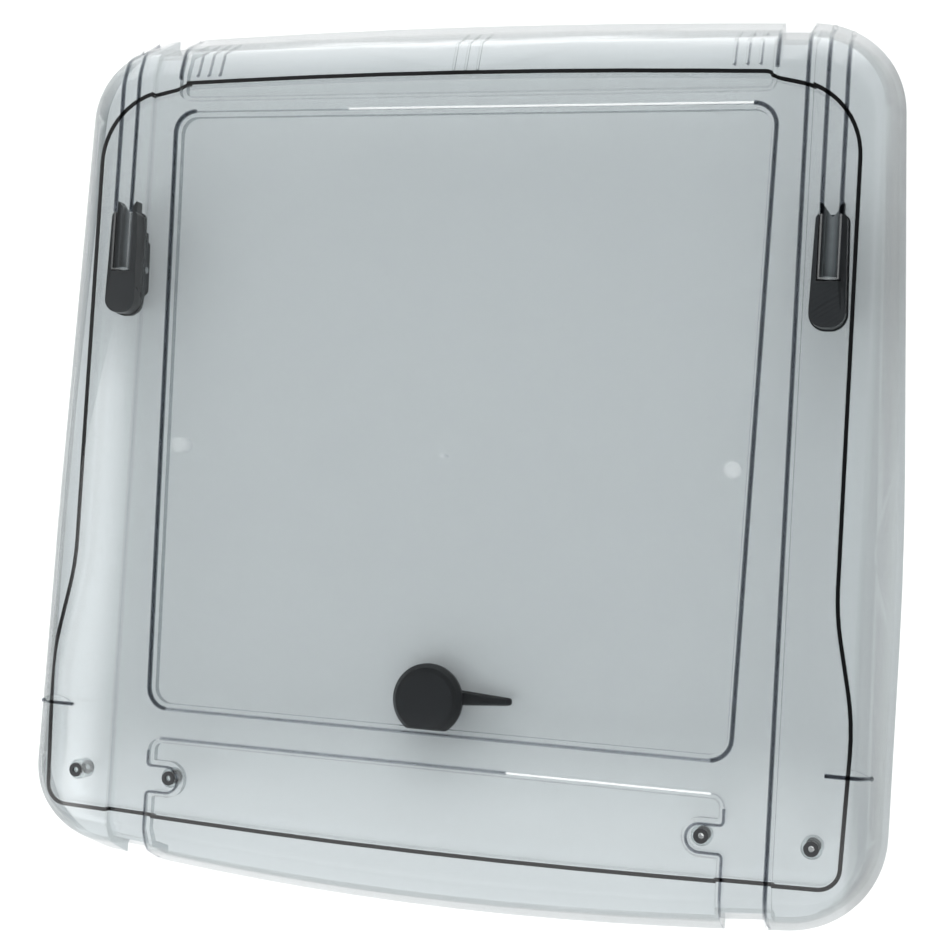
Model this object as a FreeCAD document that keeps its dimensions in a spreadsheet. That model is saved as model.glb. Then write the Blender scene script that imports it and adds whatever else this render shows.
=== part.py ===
import FreeCAD, Part
import Sketcher
import os

# Double-skinned roof-light hood for a caravan, millimetres.
# X runs across the hood, +Y points to the hinge side, +Z points up out of the roof.
# The origin lies on the plane of the rim's lower edge, midway across the hood.

doc = FreeCAD.newDocument("roof_light_hood")
sheet = doc.addObject("Spreadsheet::Sheet", "dims")

SIZES = {
    # Outer skin: three outlines, each with its level, corner positions and corner radii
    "rim_level": 0,
    "rim_rear_apex_y": 263.5,
    "rim_rear_x": 247.6,
    "rim_rear_y": 256.1,
    "rim_rear_radius": 54,
    "rim_side_x": 260.9,
    "rim_front_x": 259.4,
    "rim_front_y": -246,
    "rim_front_radius": 57,
    "rim_apex_y": -268.9,
    "bend_level": 24,
    "bend_rear_apex_y": 248.4,
    "bend_rear_x": 240.8,
    "bend_rear_y": 244.5,
    "bend_rear_radius": 44,
    "bend_side_x": 248.6,
    "bend_front_x": 252.4,
    "bend_front_y": -236.8,
    "bend_front_radius": 44,
    "bend_apex_y": -259.5,
    "crown_level": 30,
    "crown_rear_apex_y": 229.8,
    "crown_rear_x": 234,
    "crown_rear_y": 229,
    "crown_rear_radius": 34,
    "crown_side_x": 240.9,
    "crown_front_x": 245,
    "crown_front_y": -227,
    "crown_front_radius": 26,
    "crown_apex_y": -242.5,
    "side_y": -40,
    "bow_radius": 1950,
    "rear_bow_radius": 5000,
    "skin": 3,
    "shoulder_reach": 4,
    # How far each outline moves in, and how far the bend drops, per millimetre of depth
    "rim_inset": 1.17,
    "bend_inset": 0.67,
    "bend_drop": 0.83,
    "crown_inset": 0.16,
    # Sunk channel round the raised window field, and its two arms over the end walls
    "channel_depth": 4.5,
    "channel_outer_x": 198,
    "channel_rear_inner_x": 181,
    "channel_front_inner_x": 173.5,
    "channel_rear_y": 212,
    "channel_front_y": -175.5,
    "channel_reach": 300,
    "strip_corner_radius": 6,
    "panel_corner_radius": 7.5,
    "tab_inner_x": 153.3,
    "tab_y": -200,
    "tab_half_width": 7.8,
    "tab_radius": 7.7,
    "tab_mouth_radius": 2.4,
    "field_rear_x": 182.5,
    "field_front_x": 175.5,
    "field_rear_y": 205.2,
    "field_front_y": -157.7,
    "field_radius": 13,
    # Shallow flutes, thumb steps and ribs of the outer skin
    "relief_depth": 1.6,
    "flute_inner_x": 209,
    "flute_width": 10.6,
    "flute_start_y": 108,
    "step_inner_x": 226.2,
    "step_outer_x": 250.5,
    "step_y": -160,
    "step_rise": 4.6,
    "rib_height": 1.5,
    "rib_width": 1.5,
    "rib_spacing": 7.3,
    "rib_group_x": 163.5,
    "rib_start_y": 227.8,
    # Inner pane: a tray bonded under the outer skin
    "pane_top": 17.5,
    "pane_thick": 2,
    "pane_rim": 2.5,
    "pane_shift_x": -2.2,
    "pane_rear_apex_y": 229.2,
    "pane_rear_y": 224.1,
    "pane_kink_start_x": 178,
    "pane_kink_end_x": 184,
    "pane_kink_drop": 2.8,
    "pane_kink_radius": 6,
    "pane_rear_x": 231,
    "pane_rear_corner_y": 211,
    "pane_rear_radius": 45,
    "pane_waist_y": -74,
    "pane_hip_x": 242.3,
    "pane_hip_y": -131,
    "pane_sway_radius": 150,
    "pane_front_x": 239.2,
    "pane_front_y": -221.7,
    "pane_front_radius": 13,
    "pane_apex_y": -228.5,
    "bead_height": 0.8,
    "bead_width": 1.6,
    # Bushes, washers and spacers
    "bush_outer_x": 221.2,
    "bush_inner_x": 161.1,
    "bush_y": -199.5,
    "bush_radius": 4.2,
    "bush_bore_radius": 1.7,
    "bush_seat_depth": 1.5,
    "bush_thick": 1.8,
    "bush_spacer_radius": 6,
    "bush_washer_thick": 1.2,
    "spacer_pad_x": 167.5,
    "spacer_pad_y": 1.9,
    "spacer_pad_radius": 4.7,
    "stud_radius": 1.3,
    "stud_y": 2.5,
    # Hinge brackets
    "bracket_x": 214.35,
    "bracket_width": 20.3,
    "bracket_front_y": 81.5,
    "bracket_rear_y": 144.3,
    "bracket_front_radius": 8.6,
    "bracket_rear_radius": 3.5,
    "bracket_top_taper": 1.6,
    "bracket_bottom": 8.5,
    "bracket_pad_thick": 0.5,
    "bracket_gasket_width": 0.8,
    "bracket_cover": 2,
    "track_half_width": 6.8,
    "track_floor": 17.7,
    "track_end_y": 86,
    "window_end_y": 107,
    "slide_front_y": 108,
    "slide_tip_y": 151.6,
    "slide_notch_y": 143.4,
    "slide_half_width": 6.6,
    "slide_clearance": 0.1,
    "slide_height": 6.6,
    "slide_groove_half_width": 3.4,
    "slide_groove_depth": 5,
    "stay_slot_half_width": 4,
    "stay_slot_top": 16,
    "stay_slot_front_y": 95,
    "stay_slot_rear_y": 125,
    "pin_radius": 2,
    "pin_y": 110,
    "pin_level": 12,
    "pin_clearance": 0.02,
    # Rotary latch
    "latch_x": -4.7,
    "latch_y": -140,
    "latch_radius": 21.2,
    "latch_flat": 17.4,
    "latch_pad_thick": 0.4,
    "latch_pad_radius": 16,
    "latch_base_thick": 5,
    "latch_chamfer": 2.4,
    "insert_radius": 3,
    "insert_length": 4.5,
    "thread_radius": 1.5,
    "thread_clearance": 0.02,
    "washer_thick": 0.4,
    "washer_radius": 7,
    "lever_thick": 3.2,
    "lever_hub_radius": 12,
    "lever_offset": 2.4,
    "lever_root_x": 8,
    "lever_root_half_width": 5.2,
    "lever_tip_x": 49.7,
    "lever_tip_half_width": 2.1,
    "lever_tip_radius": 1.8,
    "lever_ridge": 1.1,
    "drive_size": 9,
    "drive_length": 2,
    "knob_radius": 15,
    "knob_thick": 5.1,
    "knob_chamfer": 1,
    "knob_scallop_radius": 2.2,
    "knob_scallop_count": 12,
    "shoulder_screw_radius": 2.5,
    "shoulder_screw_clearance": 0.05,
    "screw_head_radius": 4,
    "screw_head_thick": 1.6,
    "screw_head_recess": 1.9,
    "screw_head_clearance": 0.4,
}
for row, (alias, number) in enumerate(SIZES.items(), start=1):
    sheet.set(f"A{row}", alias)
    sheet.set(f"B{row}", str(number))
    sheet.setAlias(f"B{row}", alias)
doc.recompute()


def value(expression):
    """Number that a sheet expression gives now."""
    result = sheet.evalExpression(expression)
    return float(getattr(result, "Value", result))


def unit(vector):
    """Vector of length one."""
    length = (vector[0] ** 2 + vector[1] ** 2) ** 0.5
    return vector[0] / length, vector[1] / length


def body_plane(body, role):
    """Origin plane of a body, by its role."""
    for feature in body.Origin.OriginFeatures:
        if feature.Role == role:
            return feature
    raise ValueError(role)


def new_sketch(body, name, role="XY_Plane", level="0"):
    """Sketch on an origin plane of the body, moved along that plane's normal."""
    sketch = body.newObject("Sketcher::SketchObject", name)
    sketch.AttachmentSupport = [(body_plane(body, role), "")]
    sketch.MapMode = "FlatFace"
    sketch.setExpression("AttachmentOffset.Base.z", level)
    return sketch


def hold(sketch, kind, *where, to):
    """Dimension of a sketch that follows a sheet expression."""
    number = sketch.addConstraint(Sketcher.Constraint(kind, *where, value(to)))
    sketch.setExpression(f"Constraints[{number}]", to)


def closed_outline(sketch, corners):
    """Polygon with rounded corners: each corner is x, y and radius as sheet expressions."""
    places = [(value(x), value(y)) for x, y, radius in corners]
    radii = [value(radius) for x, y, radius in corners]
    count = len(corners)
    cuts = []
    for index, place in enumerate(places):
        back = unit([places[index - 1][axis] - place[axis] for axis in (0, 1)])
        ahead = unit([places[(index + 1) % count][axis] - place[axis] for axis in (0, 1)])
        cosine = back[0] * ahead[0] + back[1] * ahead[1]
        reach = radii[index] * ((1 + cosine) / (1 - cosine)) ** 0.5
        start = [place[axis] + back[axis] * reach for axis in (0, 1)]
        end = [place[axis] + ahead[axis] * reach for axis in (0, 1)]
        inward = unit([back[axis] + ahead[axis] for axis in (0, 1)])
        depth = radii[index] * (2 / (1 - cosine)) ** 0.5
        middle = [place[axis] + inward[axis] * (depth - radii[index]) for axis in (0, 1)]
        cuts.append((start, middle, end))
    lines = []
    arcs = []
    points = []
    for index in range(count):
        leave = cuts[index][2]
        arrive = cuts[(index + 1) % count][0]
        segment = Part.LineSegment(FreeCAD.Vector(*leave, 0), FreeCAD.Vector(*arrive, 0))
        lines.append(sketch.addGeometry(segment))
    for index, (x, y, radius) in enumerate(corners):
        points.append(sketch.addGeometry(Part.Point(FreeCAD.Vector(*places[index], 0)), True))
        if radii[index] > 0:
            curve = Part.Arc(*[FreeCAD.Vector(*spot, 0) for spot in cuts[index]])
            arcs.append(sketch.addGeometry(curve))
        else:
            arcs.append(None)
    for index, (x, y, radius) in enumerate(corners):
        before = lines[index - 1]
        after = lines[index]
        hold(sketch, "DistanceX", points[index], 1, to=x)
        hold(sketch, "DistanceY", points[index], 1, to=y)
        if arcs[index] is None:
            sketch.addConstraint(Sketcher.Constraint("Coincident", before, 2, points[index], 1))
            sketch.addConstraint(Sketcher.Constraint("Coincident", after, 1, points[index], 1))
            continue
        arc = arcs[index]
        centre = sketch.Geometry[arc].Center
        turn = (cuts[index][0][0] - centre.x) * (cuts[index][2][1] - centre.y)
        turn -= (cuts[index][0][1] - centre.y) * (cuts[index][2][0] - centre.x)
        first, last = (1, 2) if turn > 0 else (2, 1)
        sketch.addConstraint(Sketcher.Constraint("PointOnObject", points[index], 1, before))
        sketch.addConstraint(Sketcher.Constraint("PointOnObject", points[index], 1, after))
        sketch.addConstraint(Sketcher.Constraint("Tangent", before, 2, arc, first))
        sketch.addConstraint(Sketcher.Constraint("Tangent", after, 1, arc, last))
        hold(sketch, "Radius", arc, to=radius)


def round_hole(sketch, x, y, radius):
    """Circle with its centre and radius on sheet expressions."""
    centre = FreeCAD.Vector(value(x), value(y), 0)
    circle = sketch.addGeometry(Part.Circle(centre, FreeCAD.Vector(0, 0, 1), value(radius)))
    hold(sketch, "DistanceX", circle, 3, to=x)
    hold(sketch, "DistanceY", circle, 3, to=y)
    hold(sketch, "Radius", circle, to=radius)


def mirrored_corners(corners):
    """Right-hand corners from rear to front, then the same run on the left."""
    left = [(f"-({x})", y, radius) for x, y, radius in reversed(corners)]
    return corners + left


def new_body(name):
    """Empty body."""
    return doc.addObject("PartDesign::Body", name)


def pad(body, sketch, length, name, up=True):
    """Straight block over a sketch."""
    feature = body.newObject("PartDesign::Pad", name)
    feature.Profile = sketch
    feature.setExpression("Length", length)
    feature.Reversed = not up
    return feature


def pocket(body, sketch, length, name, down=True):
    """Straight cut from a sketch."""
    feature = body.newObject("PartDesign::Pocket", name)
    feature.Profile = sketch
    feature.setExpression("Length", length)
    feature.Reversed = not down
    return feature


def level_edges(body, top=True):
    """Names of the edges that lie in the highest or lowest plane of a body."""
    shape = body.Tip.Shape
    names = []
    for number, edge in enumerate(shape.Edges, start=1):
        box = edge.BoundBox
        if top and box.ZMin > shape.BoundBox.ZMax - 0.01:
            names.append((f"Edge{number}", box))
        if not top and box.ZMax < shape.BoundBox.ZMin + 0.01:
            names.append((f"Edge{number}", box))
    return names


def bevel_edges(body, edge_names, size, name):
    """Chamfer on edges of the body's newest feature."""
    newest = body.Tip
    feature = body.newObject("PartDesign::Chamfer", name)
    feature.Base = (newest, edge_names)
    feature.setExpression("Size", size)
    doc.recompute()
    return feature


def join(kind, name, base, tool):
    """Cut, fuse or common of two shapes."""
    result = doc.addObject(f"Part::{kind}", name)
    result.Base = base
    result.Tool = tool
    return result


def mirrored(source, name):
    """The same piece on the other side of the hood."""
    result = doc.addObject("Part::Mirroring", name)
    result.Source = source
    result.Normal = FreeCAD.Vector(1, 0, 0)
    return result


def upright_cylinder(name, x, y, bottom, height, radius):
    """Cylinder standing along Z."""
    cylinder = doc.addObject("Part::Cylinder", name)
    cylinder.setExpression("Radius", radius)
    cylinder.setExpression("Height", height)
    cylinder.setExpression("Placement.Base.x", x)
    cylinder.setExpression("Placement.Base.y", y)
    cylinder.setExpression("Placement.Base.z", bottom)
    return cylinder


def gathered(name, members):
    """Group of equal pieces as one compound."""
    group = doc.addObject("Part::Compound", name)
    group.Links = members
    return group


# Forms of the outer skin: every ring of them lies between two of the three outlines
def ring_corners(lower, upper, share, inset):
    """Outline that lies the given share of the way between two levels, drawn in by the inset."""
    def between(size):
        return f"((1 - {share}) * dims.{lower}_{size} + {share} * dims.{upper}_{size})"
    side = [
        (f"{between('rear_x')} - {inset}", f"{between('rear_y')} - {inset}",
         f"{between('rear_radius')} - {inset}"),
        (f"{between('side_x')} - {inset}", "dims.side_y", "dims.bow_radius"),
        (f"{between('front_x')} - {inset}", f"{between('front_y')} + {inset}",
         f"{between('front_radius')} - {inset}"),
    ]
    front_apex = [("0", f"{between('apex_y')} + {inset}", "dims.bow_radius")]
    left = [(f"-({x})", y, radius) for x, y, radius in reversed(side)]
    rear_apex = [("0", f"{between('rear_apex_y')} - {inset}", "dims.rear_bow_radius")]
    return side + front_apex + left + rear_apex


def skin_form(name, sections):
    """Solid under a skin surface; a section is two outlines, the share between, inset and drop."""
    body = new_body(name)
    rings = []
    for number, (lower, upper, share, inset, drop) in enumerate(sections):
        level = f"(1 - {share}) * dims.{lower}_level + {share} * dims.{upper}_level - ({drop})"
        sketch = new_sketch(body, f"{name}_ring_{number}", level=level)
        closed_outline(sketch, ring_corners(lower, upper, share, f"({inset})"))
        rings.append(sketch)
    loft = body.newObject("PartDesign::AdditiveLoft", f"{name}_loft")
    loft.Profile = rings[0]
    loft.Sections = rings[1:]
    loft.Ruled = True
    doc.recompute()
    return body


def surface_below(depth):
    """Sections of the surface that lies the given depth under the outside of the skin."""
    return [
        ("rim", "rim", "0", f"({depth}) * dims.rim_inset", "0"),
        ("bend", "bend", "0", f"({depth}) * dims.bend_inset", f"({depth}) * dims.bend_drop"),
        ("crown", "crown", "0", f"({depth}) * dims.crown_inset", depth),
    ]


outside_form = skin_form("outside_form", [
    ("rim", "rim", "0", "0", "0"),
    ("rim", "bend", "0.8", "0", "0"),
    ("bend", "bend", "0", "0.1 * dims.shoulder_reach", "0.18 * dims.shoulder_reach"),
    ("bend", "crown", "0.3", "0", "0"),
    ("bend", "crown", "0.75", "0", "0"),
    ("crown", "crown", "0", "0.05 * dims.shoulder_reach", "0.09 * dims.shoulder_reach"),
    ("crown", "crown", "0", "dims.shoulder_reach", "0"),
])
cavity_form = skin_form("cavity_form", surface_below("dims.skin"))
channel_form = skin_form("channel_form", surface_below("dims.channel_depth"))
channel_cavity_form = skin_form(
    "channel_cavity_form", surface_below("dims.channel_depth + dims.skin"))
relief_form = skin_form("relief_form", [("rim", "rim", "0", "0", "0")] + surface_below(
    "dims.relief_depth")[1:])


# Plan of the sunk channel, grown by the skin thickness for the cavity side
def channel_region(name, grow):
    """Tall block over the plan of the channel, with the window field left out of it."""
    body = new_body(name)
    sketch = new_sketch(body, f"{name}_plan", level="-10")
    rear_inner = f"dims.channel_rear_inner_x - {grow}"
    front_inner = f"dims.channel_front_inner_x - {grow}"
    outer = f"dims.channel_outer_x + {grow}"
    panel_edge = f"dims.channel_front_y - {grow}"
    tab_rear = f"dims.tab_y + dims.tab_half_width + {grow}"
    tab_front = f"dims.tab_y - dims.tab_half_width - {grow}"
    tab_end = f"dims.tab_inner_x - {grow}"
    mouth = f"dims.tab_mouth_radius - {grow} / 2"
    side = [
        (rear_inner, f"dims.channel_rear_y + {grow}", f"dims.strip_corner_radius - {grow}"),
        (rear_inner, "dims.channel_reach", "0"),
        (outer, "dims.channel_reach", "0"),
        (outer, "-dims.channel_reach", "0"),
        (front_inner, "-dims.channel_reach", "0"),
        (front_inner, tab_front, mouth),
        (tab_end, tab_front, f"dims.tab_radius + {grow}"),
        (tab_end, tab_rear, f"dims.tab_radius + {grow}"),
        (front_inner, tab_rear, mouth),
        (front_inner, panel_edge, f"dims.panel_corner_radius - {grow}"),
    ]
    closed_outline(sketch, mirrored_corners(side))
    field = [
        (f"dims.field_rear_x - {grow}", f"dims.field_rear_y - {grow}", f"dims.field_radius - {grow}"),
        (f"dims.field_front_x - {grow}", f"dims.field_front_y + {grow}", f"dims.field_radius - {grow}"),
    ]
    closed_outline(sketch, mirrored_corners(field))
    pad(body, sketch, "60", f"{name}_block")
    doc.recompute()
    return body


channel_outside = channel_region("channel_outside", "0")
channel_inside = channel_region("channel_inside", "dims.skin")
channel_cutter = join("Cut", "channel_cutter", channel_outside, channel_form)
cavity_keeper = join("Cut", "cavity_keeper", channel_inside, channel_cavity_form)
cavity = join("Cut", "cavity", cavity_form, cavity_keeper)

# Flutes that run back from the brackets, and thumb steps on the side shoulders
relief_body = new_body("relief_region")
flute_plan = new_sketch(relief_body, "flute_plan", level="-10")
flute_end = "dims.flute_inner_x + dims.flute_width"
closed_outline(flute_plan, [
    ("dims.flute_inner_x", "dims.flute_start_y", "0"),
    (flute_end, "dims.flute_start_y", "0"),
    (flute_end, "dims.channel_reach", "0"),
    ("dims.flute_inner_x", "dims.channel_reach", "0"),
])
pad(relief_body, flute_plan, "60", "flute_block")
step_body = new_body("step_region")
step_plan = new_sketch(step_body, "step_plan", level="-10")
step_half = (value("dims.step_outer_x") - value("dims.step_inner_x")) / 2
step_middle = value("dims.step_inner_x") + step_half
rise = value("dims.step_rise")
chord = step_plan.addGeometry(Part.LineSegment(
    FreeCAD.Vector(value("dims.step_inner_x"), value("dims.step_y"), 0),
    FreeCAD.Vector(value("dims.step_outer_x"), value("dims.step_y"), 0)))
crescent = step_plan.addGeometry(Part.Arc(
    FreeCAD.Vector(value("dims.step_outer_x"), value("dims.step_y"), 0),
    FreeCAD.Vector(step_middle, value("dims.step_y") + rise, 0),
    FreeCAD.Vector(value("dims.step_inner_x"), value("dims.step_y"), 0)))
step_plan.addConstraint(Sketcher.Constraint("Horizontal", chord))
step_plan.addConstraint(Sketcher.Constraint("Coincident", chord, 2, crescent, 1))
step_plan.addConstraint(Sketcher.Constraint("Coincident", chord, 1, crescent, 2))
hold(step_plan, "DistanceX", chord, 1, to="dims.step_inner_x")
hold(step_plan, "DistanceX", chord, 2, to="dims.step_outer_x")
hold(step_plan, "DistanceY", chord, 1, to="dims.step_y")
span = "(dims.step_outer_x - dims.step_inner_x) / 2"
hold(step_plan, "Radius", crescent, to=f"(({span})^2 + dims.step_rise^2) / (2 * dims.step_rise)")
pad(step_body, step_plan, "60", "step_block")
doc.recompute()

relief_right = join("Fuse", "relief_right", relief_body, step_body)
relief_both = join("Fuse", "relief_both", relief_right, mirrored(relief_right, "relief_left"))
relief_cutter = join("Cut", "relief_cutter", relief_both, relief_form)

# Screw holes with a seat for each black bush
hole_tools = []
for place, level in (("outer", "dims.crown_level"), ("inner", "dims.crown_level - dims.channel_depth")):
    for side, sign in (("right", ""), ("left", "-")):
        x = f"{sign}dims.bush_{place}_x"
        hole_tools.append(upright_cylinder(
            f"bush_bore_{place}_{side}", x, "dims.bush_y", "0", "dims.crown_level + 5",
            "dims.bush_bore_radius"))
        hole_tools.append(upright_cylinder(
            f"bush_seat_{place}_{side}", x, "dims.bush_y", f"{level} - dims.bush_seat_depth", "10",
            "dims.bush_radius"))
bush_holes = doc.addObject("Part::MultiFuse", "bush_holes")
bush_holes.Shapes = hole_tools

channelled = join("Cut", "channelled", outside_form, channel_cutter)
relieved = join("Cut", "relieved", channelled, relief_cutter)
hollowed = join("Cut", "hollowed", relieved, cavity)
doc.recompute()

# Upright ribs inside the rear wall, in three groups of three
rib_form = skin_form("rib_form", surface_below("dims.skin + dims.rib_height"))
rib_slabs = []
for group in (-1, 0, 1):
    for member in (-1, 0, 1):
        slab = doc.addObject("Part::Box", "rib_slab")
        slab.setExpression("Length", "dims.rib_width")
        slab.Width = 60
        slab.setExpression("Height", "dims.crown_level - dims.skin")
        slab.setExpression(
            "Placement.Base.x",
            f"{group} * dims.rib_group_x + {member} * dims.rib_spacing - dims.rib_width / 2")
        slab.setExpression("Placement.Base.y", "dims.rib_start_y")
        rib_slabs.append(slab)
rib_comb = doc.addObject("Part::MultiFuse", "rib_comb")
rib_comb.Shapes = rib_slabs
ribs_in_cavity = join("Common", "ribs_in_cavity", rib_comb, cavity_form)
ribs = join("Cut", "ribs", ribs_in_cavity, rib_form)
ribbed = join("Fuse", "ribbed", hollowed, ribs)
outer_shell = join("Cut", "outer_shell", ribbed, bush_holes)
doc.recompute()

# Inner pane: upturned tray with slots for the brackets and holes for the bushes
def pane_corners(inset):
    """Edge of the inner pane, drawn in by the inset."""
    kink_y = "dims.pane_rear_y - dims.pane_kink_drop"
    side = [
        ("dims.pane_kink_start_x", f"dims.pane_rear_y - {inset}", "dims.pane_kink_radius"),
        ("dims.pane_kink_end_x", f"{kink_y} - {inset}", "dims.pane_kink_radius"),
        (f"dims.pane_rear_x - {inset}", f"dims.pane_rear_corner_y - {inset}",
         f"dims.pane_rear_radius - {inset}"),
        (f"dims.pane_rear_x - {inset}", "dims.pane_waist_y", "dims.pane_sway_radius"),
        (f"dims.pane_hip_x - {inset}", "dims.pane_hip_y", "dims.pane_sway_radius"),
        (f"dims.pane_front_x - {inset}", f"dims.pane_front_y + {inset}",
         f"dims.pane_front_radius - {inset}"),
    ]
    right = [(f"dims.pane_shift_x + {x}", y, radius) for x, y, radius in side]
    front_apex = [("dims.pane_shift_x", f"dims.pane_apex_y + {inset}", "dims.rear_bow_radius")]
    left = [(f"dims.pane_shift_x - ({x})", y, radius) for x, y, radius in reversed(side)]
    rear_apex = [("dims.pane_shift_x", f"dims.pane_rear_apex_y - {inset}", "dims.rear_bow_radius")]
    return right + front_apex + left + rear_apex


def bracket_corners(grow):
    """Plan of a bracket, grown all round; it narrows a little towards the hinge side."""
    half = "dims.bracket_width / 2"
    return [
        (f"dims.bracket_x - {half} + dims.bracket_top_taper - {grow}", f"dims.bracket_rear_y + {grow}",
         f"dims.bracket_rear_radius + {grow}"),
        (f"dims.bracket_x + {half} - dims.bracket_top_taper + {grow}", f"dims.bracket_rear_y + {grow}",
         f"dims.bracket_rear_radius + {grow}"),
        (f"dims.bracket_x + {half} + {grow}", f"dims.bracket_front_y - {grow}",
         f"dims.bracket_front_radius + {grow}"),
        (f"dims.bracket_x - {half} - {grow}", f"dims.bracket_front_y - {grow}",
         f"dims.bracket_front_radius + {grow}"),
    ]


pane_bottom = "dims.pane_top - dims.pane_thick"
rim_top = "dims.crown_level - dims.skin - dims.bead_height"
pane = new_body("pane_body")
pane_plan = new_sketch(pane, "pane_plan", level=pane_bottom)
closed_outline(pane_plan, pane_corners("0"))
pad(pane, pane_plan, f"{rim_top} - ({pane_bottom})", "pane_block")
tray_plan = new_sketch(pane, "tray_plan", level=rim_top)
closed_outline(tray_plan, pane_corners("dims.pane_rim"))
pocket(pane, tray_plan, f"{rim_top} - dims.pane_top", "tray")
gap_plan = new_sketch(pane, "gap_plan", level=rim_top)
gap_outer = "dims.channel_outer_x + dims.skin + dims.bead_height"
for end, reach in (("rear", "dims.channel_reach"), ("front", "-dims.channel_reach")):
    gap_inner = f"dims.channel_{end}_inner_x - dims.skin - dims.bead_height"
    for sign in ("", "-"):
        closed_outline(gap_plan, [
            (f"{sign}({gap_inner})", "0", "0"),
            (f"{sign}({gap_outer})", "0", "0"),
            (f"{sign}({gap_outer})", reach, "0"),
            (f"{sign}({gap_inner})", reach, "0"),
        ])
pocket(pane, gap_plan, "dims.channel_depth", "channel_gaps")
slot_plan = new_sketch(pane, "slot_plan", level="dims.pane_top")
slot = bracket_corners("dims.bracket_gasket_width")
closed_outline(slot_plan, slot)
closed_outline(slot_plan, [(f"-({x})", y, radius) for x, y, radius in slot])
pocket(pane, slot_plan, "dims.pane_thick", "bracket_slots")
pane_holes = new_sketch(pane, "pane_holes", level="dims.pane_top")
for place in ("outer", "inner"):
    for sign in ("", "-"):
        round_hole(pane_holes, f"{sign}dims.bush_{place}_x", "dims.bush_y", "dims.bush_bore_radius")
pocket(pane, pane_holes, "dims.pane_thick", "bush_openings")
doc.recompute()
bead_form = skin_form("bead_form", surface_below("dims.skin + dims.bead_height"))
inner_pane = join("Common", "inner_pane", pane, bead_form)

# Bonding bead that fills the joint between the upturned rim and the outer skin
bead_ring = new_body("bead_ring")
bead_plan = new_sketch(bead_ring, "bead_plan", level="dims.pane_top")
closed_outline(bead_plan, pane_corners("0"))
closed_outline(bead_plan, pane_corners("dims.bead_width"))
pad(bead_ring, bead_plan, "dims.crown_level - dims.pane_top", "bead_block")
doc.recompute()
bead_space = join("Common", "bead_space", bead_ring, cavity)
bond_bead = join("Cut", "bond_bead", bead_space, inner_pane)
doc.recompute()

# Bushes in the outer skin, clear spacers between the panes, washers under the inner pane
bushes = []
bush_spacers = []
bush_washers = []
for place, level in (("outer", "dims.crown_level"), ("inner", "dims.crown_level - dims.channel_depth")):
    for side, sign in (("right", ""), ("left", "-")):
        x = f"{sign}dims.bush_{place}_x"
        rings = (
            (bushes, "bush", f"{level} - dims.bush_seat_depth", "dims.bush_thick", "dims.bush_radius"),
            (bush_spacers, "spacer", "dims.pane_top", f"{level} - dims.skin - dims.pane_top",
             "dims.bush_spacer_radius"),
            (bush_washers, "washer", f"{pane_bottom} - dims.bush_washer_thick",
             "dims.bush_washer_thick", "dims.bush_radius"),
        )
        for ring_list, ring_name, bottom, height, radius in rings:
            disc = upright_cylinder(f"{ring_name}_disc_{place}_{side}", x, "dims.bush_y", bottom,
                                    height, radius)
            bore = upright_cylinder(f"{ring_name}_bore_{place}_{side}", x, "dims.bush_y", bottom,
                                    height, "dims.bush_bore_radius")
            ring_list.append(join("Cut", f"{ring_name}_{place}_{side}", disc, bore))
front_bushes = gathered("front_bushes", bushes)
bush_spacer_group = gathered("bush_spacers", bush_spacers)
bush_washer_group = gathered("bush_washers", bush_washers)

# Soft pads and a small stud that keep the two panes apart
gap_between = "dims.crown_level - dims.skin - dims.pane_top"
pads = []
for side, sign in (("right", ""), ("left", "-")):
    pads.append(upright_cylinder(
        f"spacer_pad_{side}", f"{sign}dims.spacer_pad_x", "dims.spacer_pad_y", "dims.pane_top",
        gap_between, "dims.spacer_pad_radius"))
spacer_pads = gathered("spacer_pads", pads)
centre_stud = upright_cylinder(
    "centre_stud", "0", "dims.stud_y", "dims.pane_top", gap_between, "dims.stud_radius")
doc.recompute()

# Hinge bracket: moulded block with a covered track above and a slot for the stay below
bracket_top = "dims.crown_level - dims.skin - dims.bracket_pad_thick"
housing = new_body("bracket_housing_right")
housing_plan = new_sketch(housing, "housing_plan", level="dims.bracket_bottom")
closed_outline(housing_plan, bracket_corners("0"))
pad(housing, housing_plan, f"{bracket_top} - dims.bracket_bottom", "housing_block")
track_plan = new_sketch(housing, "track_plan", level=f"{bracket_top} - dims.bracket_cover")
closed_outline(track_plan, [
    ("dims.bracket_x - dims.track_half_width", "dims.track_end_y", "1"),
    ("dims.bracket_x + dims.track_half_width", "dims.track_end_y", "1"),
    ("dims.bracket_x + dims.track_half_width", "dims.channel_reach", "0"),
    ("dims.bracket_x - dims.track_half_width", "dims.channel_reach", "0"),
])
pocket(housing, track_plan, f"{bracket_top} - dims.bracket_cover - dims.track_floor", "track")
window_plan = new_sketch(housing, "window_plan", level=bracket_top)
closed_outline(window_plan, [
    ("dims.bracket_x - dims.track_half_width", "dims.window_end_y", "0"),
    ("dims.bracket_x + dims.track_half_width", "dims.window_end_y", "0"),
    ("dims.bracket_x + dims.track_half_width", "dims.channel_reach", "0"),
    ("dims.bracket_x - dims.track_half_width", "dims.channel_reach", "0"),
])
pocket(housing, window_plan, "dims.bracket_cover", "track_window")
stay_plan = new_sketch(housing, "stay_plan", level="dims.stay_slot_top")
closed_outline(stay_plan, [
    ("dims.bracket_x - dims.stay_slot_half_width", "dims.stay_slot_front_y", "1"),
    ("dims.bracket_x + dims.stay_slot_half_width", "dims.stay_slot_front_y", "1"),
    ("dims.bracket_x + dims.stay_slot_half_width", "dims.stay_slot_rear_y", "1"),
    ("dims.bracket_x - dims.stay_slot_half_width", "dims.stay_slot_rear_y", "1"),
])
pocket(housing, stay_plan, "dims.stay_slot_top - dims.bracket_bottom", "stay_slot")
doc.recompute()

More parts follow.
